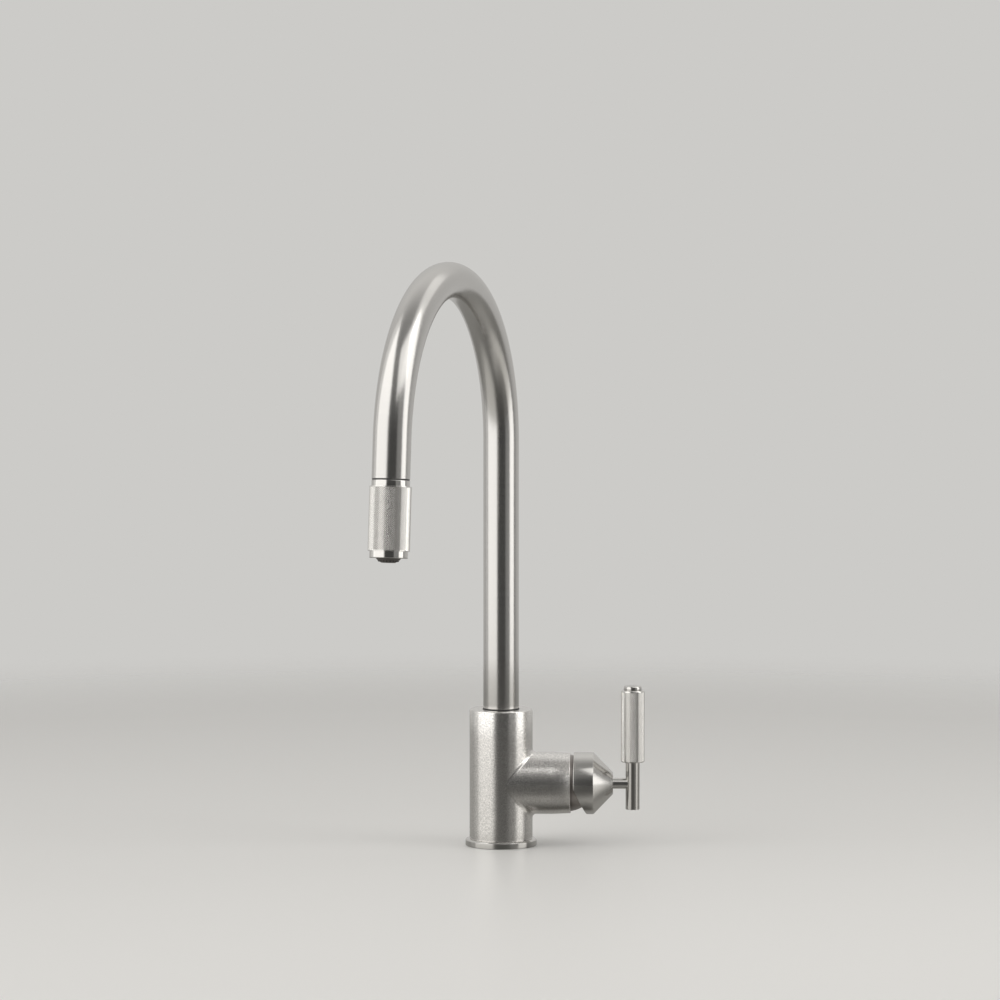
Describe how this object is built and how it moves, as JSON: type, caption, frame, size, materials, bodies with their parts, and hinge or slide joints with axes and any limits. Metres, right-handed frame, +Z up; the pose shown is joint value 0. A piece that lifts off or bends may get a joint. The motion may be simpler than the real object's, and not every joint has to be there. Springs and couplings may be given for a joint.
{
  "type": "kitchen faucet",
  "caption": "Deck-mounted kitchen faucet with a swivelling gooseneck spout, a knurled pull-down spray head on a hose and a side valve with a bar lever.",
  "frame": {"origin": "centre of the base flange's underside, on the deck's top face", "axes": "+Z up, +X along the valve branch towards the lever, -Y towards the user and the sink; the spout is parked 15.75 degrees clockwise of -Y, seen from above"},
  "size_m": [0.1976, 0.2906, 0.5334],
  "materials": {
    "blasted_steel": "fine bead-blasted satin stainless steel",
    "satin_steel": "satin stainless tube, fine circumferential grain",
    "turned_steel": "fine-turned satin stainless steel",
    "knurled_steel": "diamond-knurled stainless steel",
    "dome_steel": "darker satin steel, faint warm cast",
    "plain_steel": "plain machined steel",
    "brass": "machined brass, unplated",
    "black_rubber": "matte moulded rubber",
    "black_plastic": "matte moulded plastic",
    "white_plastic": "matte moulded plastic",
    "grey_plastic": "matte moulded plastic",
    "nozzle_grey": "dark grey moulded spray face",
    "hose_braid": "woven grey nylon braid over a hose",
    "ceramic": null
  },
  "bodies": {
    "faucet_body": {"body_casting": "blasted_steel", "base_flange": "turned_steel", "base_gasket": "black_rubber", "mounting_shank": "brass", "clamp_gasket": "black_rubber", "clamp_washer": "plain_steel", "mounting_nut": "brass", "jack_screws": "plain_steel", "swivel_stop_screw": "plain_steel", "cartridge_housing": "white_plastic", "cartridge_base": "grey_plastic", "port_seals": "black_rubber", "fixed_disc": "ceramic", "cartridge_nut": "brass", "dome_cover": "dome_steel"},
    "spout": {"spout_tube": "satin_steel", "spout_insert": "brass", "glide_ring_upper": "black_plastic", "glide_ring_lower": "black_plastic", "thrust_washer": "white_plastic", "dock_bush": "black_plastic", "spray_hose": "hose_braid", "hose_plug": "brass", "hose_plug_seal": "black_rubber"},
    "hose_end": {"hose_ferrule": "plain_steel", "hose_nipple": "brass"},
    "spray_head": {"hose_nut": "brass", "spray_shell": "satin_steel", "knurled_sleeve": "knurled_steel", "inlet_filter": "grey_plastic", "check_valve": "white_plastic", "flow_tube": "white_plastic", "nozzle_seal": "black_rubber", "nozzle_ring": "satin_steel", "nozzle": "nozzle_grey"},
    "valve_poppet": {"check_poppet": "grey_plastic", "poppet_spring": "plain_steel"},
    "temperature_rotor": {"cartridge_spindle": "grey_plastic", "lever_axle": "plain_steel"},
    "lever": {"lever_stem": "brass", "lever_cap": "turned_steel", "cap_set_screw": "plain_steel", "lever_rod": "turned_steel", "lever_bar": "turned_steel", "lever_grip": "knurled_steel", "grip_end_cap": "turned_steel"},
    "disc_slide": {"disc_carrier": "grey_plastic", "moving_disc": "ceramic"}
  },
  "joints": [
    {"name": "spout_swivel", "type": "hinge", "parent": "faucet_body", "child": "spout", "pos_m": [0, 0, 0.1], "axis": [0, 0, 1], "range_deg": [-59.25, 90.75]},
    {"name": "spray_pull", "type": "slide", "parent": "spout", "child": "hose_end", "axis": [-0.0254, -0.0899, -0.9956], "range_m": [0, 0.2], "stiffness_N_per_m": 15, "springref_m": -0.4, "deforming": ["spray_hose"]},
    {"name": "spray_spin", "type": "hinge", "parent": "hose_end", "child": "spray_head", "pos_m": [-0.06847, -0.24277, 0.30041], "axis": [-0.0254, -0.0899, -0.9956], "continuous": true},
    {"name": "poppet_lift", "type": "slide", "parent": "spray_head", "child": "valve_poppet", "axis": [-0.0254, -0.0899, -0.9956], "range_m": [0, 0.002], "stiffness_N_per_m": 60, "springref_m": -0.004, "deforming": ["poppet_spring"]},
    {"name": "temperature_turn", "type": "hinge", "parent": "faucet_body", "child": "temperature_rotor", "pos_m": [0.05, 0, 0.0489], "axis": [1, 0, 0], "range_deg": [-50, 50]},
    {"name": "lever_lift", "type": "hinge", "parent": "temperature_rotor", "child": "lever", "pos_m": [0.0524, 0, 0.0489], "axis": [0, 1, 0], "range_deg": [0, 25]},
    {"name": "disc_travel", "type": "slide", "parent": "temperature_rotor", "child": "disc_slide", "axis": [0, 0, 1], "range_m": [0, 0.0042]}
  ],
  "couplings": [
    {"joint": "disc_travel", "follows": "lever_lift", "m_per_rad": 0.0095}
  ]
}
